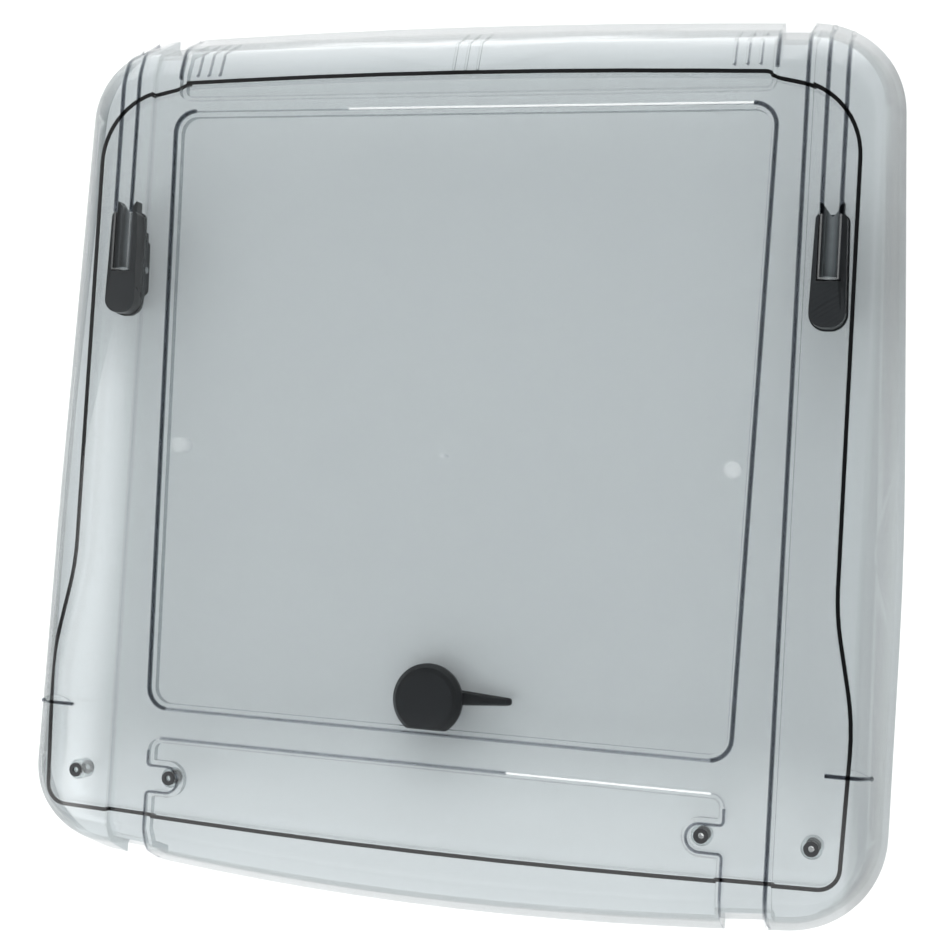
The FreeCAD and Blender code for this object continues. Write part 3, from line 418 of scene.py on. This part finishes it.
def acrylic(name, tint, edge_tint, cast_tint, rear_light_share=0.0, margin_shade_tint="ffffff"):
    """Cast acrylic sheet, vacuum formed: clear, tinted, glossy, and darker where the eye runs along it. The
    rear wall is made paler with painted light and the margin beside the seam darker with painted shade.
    """
    material, output = new_material(name)
    place = add_node(material, "ShaderNodeTexCoord")
    ripple = add_node(
        material, "ShaderNodeTexNoise", {"Scale": MM_PER_METRE / RIPPLE_MM, "Detail": 0.0},
        {"Vector": place.outputs["Object"]})
    bump = add_node(
        material, "ShaderNodeBump", {"Strength": 0.12, "Distance": 0.001},
        {"Height": ripple.outputs["Fac"]})
    weight = add_node(material, "ShaderNodeLayerWeight", {"Blend": 0.5})
    depth = add_node(material, "ShaderNodeValToRGB", None, {"Fac": weight.outputs["Facing"]})
    ramp_stops(depth, [(0.0, linear(tint)), (0.4, linear(tint)), (1.0, linear(edge_tint))])
    # Painted light: the rear wall is made paler, standing in for the bright light that falls on it from
    # behind
    split = add_node(material, "ShaderNodeSeparateXYZ", None, {"Vector": place.outputs["Object"]})
    start, full = REAR_LIGHT_SPAN
    rear_light = add_node(
        material, "ShaderNodeMapRange",
        {"interpolation_type": "SMOOTHSTEP", "From Min": start, "From Max": full, "To Max": rear_light_share},
        {"Value": split.outputs["Y"]})
    with_rear_light = add_node(
        material, "ShaderNodeMix", {"data_type": "RGBA", MIX_SECOND: WHITE},
        {MIX_SHARE: rear_light.outputs["Result"], MIX_FIRST: depth.outputs["Color"]})
    # Painted shade: the flat margin beside the seam is made darker
    side = add_node(material, "ShaderNodeMath", {"operation": "ABSOLUTE"}, {0: split.outputs["X"]})
    margin_shade = add_node(material, "ShaderNodeValToRGB", None, {"Fac": side.outputs["Value"]})
    dark = linear(margin_shade_tint)
    ramp_stops(margin_shade, [
        (0.0, WHITE), (MARGIN_START, WHITE), (MARGIN_FULL, dark), (MARGIN_FADE, dark),
        (MARGIN_END, WHITE)])
    with_painted_light = add_node(
        material, "ShaderNodeMix", {"data_type": "RGBA", "blend_type": "MULTIPLY", MIX_SHARE: 1.0},
        {MIX_FIRST: with_rear_light.outputs[MIX_RESULT], MIX_SECOND: margin_shade.outputs["Color"]})
    clear = add_node(
        material, "ShaderNodeBsdfTransparent", None, {"Color": with_painted_light.outputs[MIX_RESULT]})
    gloss = add_node(
        material, "ShaderNodeBsdfGlossy", {"Roughness": 0.03, "Color": WHITE},
        {"Normal": bump.outputs["Normal"]})
    # Mirror share of a sheet in air: 4 % head on, rising to nearly all of it along the sheet
    fifth = add_node(
        material, "ShaderNodeMath", {"operation": "POWER", 1: 5.0}, {0: weight.outputs["Facing"]})
    share = add_node(
        material, "ShaderNodeMath", {"operation": "MULTIPLY_ADD", 1: 0.9, 2: 0.04},
        {0: fifth.outputs["Value"]})
    both = add_node(
        material, "ShaderNodeMixShader", None,
        {0: share.outputs["Value"], 1: clear.outputs["BSDF"], 2: gloss.outputs["BSDF"]})
    cast = add_node(material, "ShaderNodeBsdfTransparent", {"Color": linear(cast_tint)})
    split_light(material, output, both.outputs["Shader"], cast.outputs["BSDF"])
    return material


def open_air(name):
    """Nothing there: all light passes."""
    material, output = new_material(name)
    clear = add_node(material, "ShaderNodeBsdfTransparent", {"Color": WHITE})
    material.node_tree.links.new(clear.outputs["BSDF"], output.inputs["Surface"])
    return material


def bend_shade(name, darkest):
    """Painted shade along a bend in a clear sheet, standing in for the light that runs along inside it: a
    soft dark line, deepest mid-way.
    """
    material, output = new_material(name)
    weight = add_node(material, "ShaderNodeLayerWeight", {"Blend": 0.5})
    depth = add_node(material, "ShaderNodeValToRGB", None, {"Fac": weight.outputs["Facing"]})
    dark = linear(darkest)
    between = tuple((one + 2 * other) / 3 for one, other in zip(dark, WHITE))
    ramp_stops(depth, [(0.0, dark), (0.10, dark), (0.40, between), (0.75, WHITE)])
    shade = add_node(material, "ShaderNodeBsdfTransparent", None, {"Color": depth.outputs["Color"]})
    clear = add_node(material, "ShaderNodeBsdfTransparent", {"Color": WHITE})
    split_light(material, output, shade.outputs["BSDF"], clear.outputs["BSDF"])
    return material


def painted_glint_or_milky(name, colour, share):
    """Painted highlight along a bend, or the milky colour of a silicone piece: soft and pale, most of all
    where it faces the eye.
    """
    material, output = new_material(name)
    weight = add_node(material, "ShaderNodeLayerWeight", {"Blend": 0.5})
    fade = add_node(
        material, "ShaderNodeMapRange", {"From Max": 0.6, "To Min": share, "To Max": 0.0},
        {"Value": weight.outputs["Facing"]})
    pale = add_node(material, "ShaderNodeBsdfDiffuse", {"Color": linear(colour)})
    clear = add_node(material, "ShaderNodeBsdfTransparent", {"Color": WHITE})
    line = add_node(
        material, "ShaderNodeMixShader", None,
        {0: fade.outputs["Result"], 1: clear.outputs["BSDF"], 2: pale.outputs["BSDF"]})
    split_light(material, output, line.outputs["Shader"], clear.outputs["BSDF"])
    return material


def plastic_with_painted_highlight(name, colour, highlight_colour, middle, half_width):
    """Glossy black plastic with a painted highlight: pale and smoother along the middle of the slide,
    broken up by scratches.
    """
    material, output = new_material(name)
    place = add_node(material, "ShaderNodeTexCoord")
    split = add_node(material, "ShaderNodeSeparateXYZ", None, {"Vector": place.outputs["Object"]})
    away = add_node(
        material, "ShaderNodeMath", {"operation": "SUBTRACT", 1: middle}, {0: split.outputs["X"]})
    side = add_node(material, "ShaderNodeMath", {"operation": "ABSOLUTE"}, {0: away.outputs["Value"]})
    highlight_band = add_node(
        material, "ShaderNodeMapRange",
        {"interpolation_type": "SMOOTHSTEP", "From Min": half_width, "From Max": 0.0},
        {"Value": side.outputs["Value"]})
    scratches = add_node(
        material, "ShaderNodeTexNoise", {"Scale": MM_PER_METRE / SCRATCH_MM, "Detail": 3.0},
        {"Vector": place.outputs["Object"]})
    broken = add_node(
        material, "ShaderNodeMapRange",
        {"From Min": 0.3, "From Max": 0.7, "To Min": 0.85, "To Max": 1.0},
        {"Value": scratches.outputs["Fac"]})
    highlight_share = add_node(
        material, "ShaderNodeMath", {"operation": "MULTIPLY"},
        {0: highlight_band.outputs["Result"], 1: broken.outputs["Result"]})
    shade = add_node(material, "ShaderNodeValToRGB", None, {"Fac": highlight_share.outputs["Value"]})
    ramp_stops(shade, [(0.0, linear(colour)), (1.0, linear(highlight_colour))])
    smooth = add_node(
        material, "ShaderNodeMapRange", {"To Min": 0.30, "To Max": 0.16},
        {"Value": highlight_share.outputs["Value"]})
    body = add_node(
        material, "ShaderNodeBsdfPrincipled", {"IOR": 1.5},
        {"Base Color": shade.outputs["Color"], "Roughness": smooth.outputs["Result"]})
    material.node_tree.links.new(body.outputs["BSDF"], output.inputs["Surface"])
    return material


def moulded(name, colour, roughness, grain_mm, grain_depth, specular=0.5):
    """Moulded plastic, rubber or compound: fine spark-eroded grain, slight sheen changes."""
    material, output = new_material(name)
    place = add_node(material, "ShaderNodeTexCoord")
    grain = add_node(
        material, "ShaderNodeTexNoise", {"Scale": MM_PER_METRE / grain_mm, "Detail": 2.0},
        {"Vector": place.outputs["Object"]})
    patch = add_node(
        material, "ShaderNodeTexNoise", {"Scale": MM_PER_METRE / SHEEN_PATCH_MM, "Detail": 2.0},
        {"Vector": place.outputs["Object"]})
    sheen = add_node(
        material, "ShaderNodeMapRange", {"To Min": roughness - 0.05, "To Max": roughness + 0.07},
        {"Value": patch.outputs["Fac"]})
    bump = add_node(
        material, "ShaderNodeBump", {"Strength": grain_depth, "Distance": 0.0001},
        {"Height": grain.outputs["Fac"]})
    body = add_node(
        material, "ShaderNodeBsdfPrincipled",
        {"Base Color": linear(colour), "IOR": 1.5, "Specular IOR Level": specular},
        {"Roughness": sheen.outputs["Result"], "Normal": bump.outputs["Normal"]})
    material.node_tree.links.new(body.outputs["BSDF"], output.inputs["Surface"])
    return material


def metal(name, colour, roughness):
    """Turned or drawn metal with fine tool lines."""
    material, output = new_material(name)
    place = add_node(material, "ShaderNodeTexCoord")
    lines = add_node(
        material, "ShaderNodeTexNoise", {"Scale": MM_PER_METRE / TOOL_LINE_MM, "Detail": 2.0},
        {"Vector": place.outputs["Object"]})
    bump = add_node(
        material, "ShaderNodeBump", {"Strength": 0.15, "Distance": 0.00005},
        {"Height": lines.outputs["Fac"]})
    body = add_node(
        material, "ShaderNodeBsdfPrincipled",
        {"Base Color": linear(colour), "Metallic": 1.0, "Roughness": roughness},
        {"Normal": bump.outputs["Normal"]})
    material.node_tree.links.new(body.outputs["BSDF"], output.inputs["Surface"])
    return material


# Values that a user may change
class HoodFinish(bpy.types.PropertyGroup):
    """Colours and soft edges of the hood."""

    skin_tint: bpy.props.StringProperty(
        name="Skin tint", description="sRGB hex let through by one face of the outer skin",
        default="e3e6e7")
    tray_tint: bpy.props.StringProperty(
        name="Tray tint", description="sRGB hex let through by one face of the inner tray",
        default="fefefe")
    # Tints of the painted shade lines laid along the bends
    bend_tint: bpy.props.StringProperty(
        name="Bend tint", description="sRGB hex that shows through the middle of a bend",
        default="a9abb0")
    soft_bend_tint: bpy.props.StringProperty(
        name="Soft bend tint", description="The same for the front arms, the tabs and the ribs",
        default="cbccd0")
    faint_bend_tint: bpy.props.StringProperty(
        name="Faint bend tint", description="The same for the bends across the front",
        default="e0e1e4")
    step_tint: bpy.props.StringProperty(
        name="Thumb step tint", description="The same for the thumb steps", default="8d8f95")
    cast_tint: bpy.props.StringProperty(
        name="Cast tint", description="sRGB hex that one face lets through to the floor",
        default="fbfbfb")
    edge_radius: bpy.props.FloatProperty(
        name="Formed edge radius", description="Rounding of the formed steps", default=0.0012,
        min=0.0001, max=0.003, unit="LENGTH")
    plastic: bpy.props.StringProperty(
        name="Plastic", description="sRGB hex of the moulded fittings", default="0b0c10")


class HoodStage(bpy.types.PropertyGroup):
    """Camera and floor."""

    eye: bpy.props.FloatVectorProperty(
        name="Camera place", description="Camera position in metres", default=(0.300, -0.041, 0.962),
        subtype="XYZ")
    lens: bpy.props.FloatProperty(
        name="Lens", description="Focal length on a 36 mm sensor", default=64.35, min=10, max=200)
    floor_size: bpy.props.FloatProperty(
        name="Floor size", description="Side of the floor", default=12.0, unit="LENGTH")


class HOOD_OT_skin(bpy.types.Operator):
    """Outer skin with rounded formed steps and the lines of its bends"""

    bl_idname = "hood.skin"
    bl_label = "Outer skin"

    def execute(self, context):
        finish = context.scene.hood_finish
        skin = softened_copy("outer_shell", "outer_skin", finish.edge_radius)
        dress(skin, acrylic(
            "smoked cast acrylic", tint=finish.skin_tint, edge_tint="b9bcbc",
            cast_tint=finish.cast_tint, rear_light_share=0.35, margin_shade_tint="f2f2f2"))
        air = open_air("open end")
        cords = []
        # Dark cords: painted shade along the bends
        for name, chosen, radius, tint in (
            ("bend", at_dark_bend, 0.0016, finish.bend_tint),
            ("soft_bend", at_soft_bend, 0.0011, finish.soft_bend_tint),
            ("faint_bend", at_faint_bend, 0.0014, finish.faint_bend_tint),
            ("rib_bend", at_rib, 0.0009, finish.soft_bend_tint),
            ("thumb_step", at_thumb_step, 0.0014, finish.step_tint),
        ):
            cord = bend_line("outer_shell", name, chosen, radius, CORD_SINK)
            dress(cord, bend_shade(f"painted bend line at a {name}", tint))
            clear_ends(cord, air)
            cords.append(cord)
        # Pale cords: painted highlights along the bends that catch the light
        for name, chosen, radius, share in (
            ("field_glint", at_field_glint, 0.0009, 0.45),
            ("flute_glint", at_flute_glint, 0.0008, 0.07),
        ):
            cord = bend_line("outer_shell", name, chosen, radius, GLINT_SINK)
            dress(cord, painted_glint_or_milky(f"painted bend line at a {name}", "f4f6f6", share))
            cords.append(cord)
        join_into(skin, cords)
        stand_in(skin, "outer_shell", "hood")
        return {"FINISHED"}


class HOOD_OT_tray(bpy.types.Operator):
    """Inner tray and its bonding bead"""

    bl_idname = "hood.tray"
    bl_label = "Inner tray"

    def execute(self, context):
        finish = context.scene.hood_finish
        tray = softened_copy("inner_pane", "inner_tray", TRAY_EDGE)
        dress(tray, acrylic(
            "clear cast acrylic", tint=finish.tray_tint, edge_tint="d9dbdb",
            cast_tint=finish.cast_tint))
        stand_in(tray, "inner_pane", "hood")
        bead = softened_copy("bond_bead", "seam_bead", BEAD_EDGE)
        edit_whole(bead)
        bpy.ops.transform.shrink_fatten(value=BEAD_SWELL)
        bpy.ops.object.mode_set(mode="OBJECT")
        dress(bead, moulded(
            "bonding compound", "040406", roughness=0.75, grain_mm=COMPOUND_GRAIN_MM, grain_depth=0.2,
            specular=0.12))
        stand_in(bead, "bond_bead", "hood")
        return {"FINISHED"}


class HOOD_OT_brackets(bpy.types.Operator):
    """Side brackets with their catch slides, pads, gaskets and pins"""

    bl_idname = "hood.brackets"
    bl_label = "Side brackets"

    def execute(self, context):
        finish = context.scene.hood_finish
        black = moulded(
            "moulded black plastic", finish.plastic, roughness=0.28, grain_mm=PLASTIC_GRAIN_MM,
            grain_depth=0.06)
        rubber = moulded("black rubber", "1e2023", roughness=0.6, grain_mm=RUBBER_GRAIN_MM, grain_depth=0.3)
        zinc = metal("zinc plated steel", "c2c4c6", roughness=0.3)
        for side in ("right", "left"):
            housing = softened_copy(f"bracket_housing_{side}", f"bracket_{side}", BRACKET_EDGE)
            dress(housing, black)
            stand_in(housing, f"bracket_housing_{side}", "hood")
            slide = softened_copy(f"catch_slide_{side}", f"slide_{side}", SLIDE_EDGE)
            low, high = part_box(f"catch_slide_{side}")
            # The pale middle of the slide is a painted highlight
            dress(slide, plastic_with_painted_highlight(
                f"black plastic with painted highlight {side}", "26282b", highlight_colour="b4b7b9",
                middle=(low[0] + high[0]) / 2, half_width=HIGHLIGHT_HALF_WIDTH))
            stand_in(slide, f"catch_slide_{side}", f"catch_{side}")
            dress_node(f"bracket_pad_{side}", rubber)
            dress_node(f"bracket_gasket_{side}", rubber)
            dress_node(f"pivot_pin_{side}", zinc)
        return {"FINISHED"}


class HOOD_OT_latch(bpy.types.Operator):
    """Rotary latch at the front of the window field"""

    bl_idname = "hood.latch"
    bl_label = "Latch"

    def execute(self, context):
        finish = context.scene.hood_finish
        black = moulded(
            "moulded charcoal plastic", finish.plastic, roughness=0.30, grain_mm=PLASTIC_GRAIN_MM,
            grain_depth=0.06)
        for node, name, body, radius in (
            ("latch_base", "latch_disc", "hood", LATCH_EDGE),
            ("latch_lever", "latch_finger", "latch", FINGER_EDGE),
            ("latch_knob", "latch_grip", "latch", LATCH_EDGE),
        ):
            piece = softened_copy(node, name, radius)
            dress(piece, black)
            stand_in(piece, node, body)
        dress_node("latch_pad", moulded(
            "latch bond pad", "1b1c20", roughness=0.6, grain_mm=RUBBER_GRAIN_MM, grain_depth=0.3))
        dress_node("latch_insert", metal("turned brass", "c9a862", roughness=0.3))
        dress_node("latch_washer", metal("spring steel", "9a9c9e", roughness=0.28))
        dress_node("latch_screw", metal("zinc plated steel", "c2c4c6", roughness=0.3))
        return {"FINISHED"}


class HOOD_OT_bushes(bpy.types.Operator):
    """Front bushes with their washers and spacers, spacer pads and the centre stud"""

    bl_idname = "hood.bushes"
    bl_label = "Bushes and pads"

    def execute(self, context):
        black_rubber = moulded(
            "black bush rubber", "1c1e21", roughness=0.55, grain_mm=RUBBER_GRAIN_MM, grain_depth=0.3)
        grey_rubber = moulded(
            "grey washer rubber", "4a4d50", roughness=0.6, grain_mm=RUBBER_GRAIN_MM, grain_depth=0.3)
        for node, name, rubber in (
            ("front_bushes", "bushes", black_rubber),
            ("bush_washers", "washers", grey_rubber),
        ):
            piece = softened_copy(node, name, BUSH_EDGE)
            dress(piece, rubber)
            stand_in(piece, node, "hood")
        silicone = acrylic("clear silicone", tint="e6eaea", edge_tint="b4babb", cast_tint="e6eaea")
        dress_node("bush_spacers", silicone)
        milky = painted_glint_or_milky("milky silicone", "f2f4f4", share=0.14)
        for node in ("spacer_pads", "centre_stud"):
            dress_node(node, milky)
        return {"FINISHED"}


def soft_box(world, direction, brightness, borders):
    """Lamp box in the world: each border is an axis, where the box starts and where it is full."""
    share = None
    for axis, start, full in borders:
        border = add_node(
            world, "ShaderNodeMapRange",
            {"interpolation_type": "SMOOTHSTEP", "From Min": start, "From Max": full},
            {"Value": direction.outputs[axis]})
        if share is None:
            share = border.outputs["Result"]
            continue
        product = add_node(
            world, "ShaderNodeMath", {"operation": "MULTIPLY"},
            {0: share, 1: border.outputs["Result"]})
        share = product.outputs["Value"]
    return add_node(
        world, "ShaderNodeBackground", {"Color": grey(brightness)}, {"Strength": share})


def light_the_room(context):
    """World that is dark overhead and bright low down, most of all at the left."""
    world = bpy.data.worlds.new("studio_world")
    context.scene.world = world
    world.use_nodes = True
    world.node_tree.nodes.clear()
    place = add_node(world, "ShaderNodeTexCoord")
    direction = add_node(
        world, "ShaderNodeSeparateXYZ", None, {"Vector": place.outputs["Generated"]})
    height = add_node(world, "ShaderNodeValToRGB", None, {"Fac": direction.outputs["Z"]})
    ramp_stops(height, [(level, grey(light)) for level, light in ROOM_HEIGHTS])
    side = add_node(
        world, "ShaderNodeVectorMath", {"operation": "DOT_PRODUCT", 1: BRIGHT_SIDE},
        {0: place.outputs["Generated"]})
    strength = add_node(
        world, "ShaderNodeMath", {"operation": "MULTIPLY_ADD", 1: SIDE_LIGHT, 2: ROOM_LIGHT},
        {0: side.outputs["Value"]})
    room = add_node(
        world, "ShaderNodeBackground", None,
        {"Color": height.outputs["Color"], "Strength": strength.outputs["Value"]})
    light = room.outputs["Background"]
    for brightness, borders in (
        # High up at the left front, mirrored in the left edge of the hood
        (2.8, (("X", -0.465, -0.485), ("X", -0.503, -0.495), ("Y", 0.125, 0.06), ("Z", 0.60, 0.80))),
        # Wide and high up in front, mirrored in the front panel
        (1.8, (("Y", -0.105, -0.17), ("Z", 0.60, 0.80))),
        # Long and low behind, mirrored as the white line along the rear shoulder
        (5.5, (("Z", 0.02, 0.24), ("Z", 0.60, 0.36), ("Y", 0.74, 0.94))),
    ):
        box = soft_box(world, direction, brightness, borders)
        total = add_node(
            world, "ShaderNodeAddShader", None, {0: light, 1: box.outputs["Background"]})
        light = total.outputs["Shader"]
    # The eye sees plain white behind the floor's edge
    backdrop = add_node(world, "ShaderNodeBackground", {"Color": WHITE, "Strength": 1.0})
    path = add_node(world, "ShaderNodeLightPath")
    seen = add_node(
        world, "ShaderNodeMixShader", None,
        {0: path.outputs["Is Camera Ray"], 1: light, 2: backdrop.outputs["Background"]})
    output = add_node(world, "ShaderNodeOutputWorld")
    world.node_tree.links.new(seen.outputs["Shader"], output.inputs["Surface"])


class HOOD_OT_stage(bpy.types.Operator):
    """Camera, floor and the light of the room"""

    bl_idname = "hood.stage"
    bl_label = "Studio"

    def execute(self, context):
        stage = context.scene.hood_stage
        deselect_all()
        bpy.ops.mesh.primitive_plane_add(size=stage.floor_size, location=(0, 0, FLOOR_LEVEL))
        floor = context.object
        floor.name = "studio_floor"
        material, output = new_material("matt white floor")
        paper = add_node(material, "ShaderNodeBsdfDiffuse", {"Color": grey(PAPER)})
        material.node_tree.links.new(paper.outputs["BSDF"], output.inputs["Surface"])
        dress(floor, material)

        camera_data = bpy.data.cameras.new("studio_camera")
        camera_data.lens = stage.lens
        camera_data.sensor_width = SENSOR_WIDTH
        camera = bpy.data.objects.new("studio_camera", camera_data)
        context.collection.objects.link(camera)
        turn = Matrix((CAMERA_RIGHT, CAMERA_UP, CAMERA_BACK)).transposed().to_4x4()
        camera.matrix_world = Matrix.Translation(Vector(stage.eye)) @ turn
        context.scene.camera = camera

        light_the_room(context)
        # The skins, tray and walls put more faces in a line of sight than the usual eight
        context.scene.cycles.transparent_max_bounces = SHEETS_IN_SIGHT
        context.scene.view_settings.view_transform = "Standard"
        return {"FINISHED"}


class HOOD_PT_panel(bpy.types.Panel):
    """Sidebar panel of the hood"""

    bl_idname = "HOOD_PT_panel"
    bl_label = "Roof-light hood"
    bl_space_type = "VIEW_3D"
    bl_region_type = "UI"
    bl_category = "Hood"

    def draw(self, context):
        for name in STEPS:
            self.layout.operator(f"hood.{name}")


STEPS = ("skin", "tray", "brackets", "latch", "bushes", "stage")
CLASSES = (
    HoodFinish, HoodStage, HOOD_OT_skin, HOOD_OT_tray, HOOD_OT_brackets, HOOD_OT_latch,
    HOOD_OT_bushes, HOOD_OT_stage, HOOD_PT_panel)


def register():
    """Registers the classes and the property groups."""
    for item in CLASSES:
        bpy.utils.register_class(item)
    bpy.types.Scene.hood_finish = bpy.props.PointerProperty(type=HoodFinish)
    bpy.types.Scene.hood_stage = bpy.props.PointerProperty(type=HoodStage)


def unregister():
    """Takes the property groups and classes away again."""
    del bpy.types.Scene.hood_stage
    del bpy.types.Scene.hood_finish
    for item in reversed(CLASSES):
        bpy.utils.unregister_class(item)


def main():
    """Builds all pieces and the studio."""
    register()
    for name in STEPS:
        getattr(bpy.ops.hood, name)()


if __name__ == "__main__":
    main()
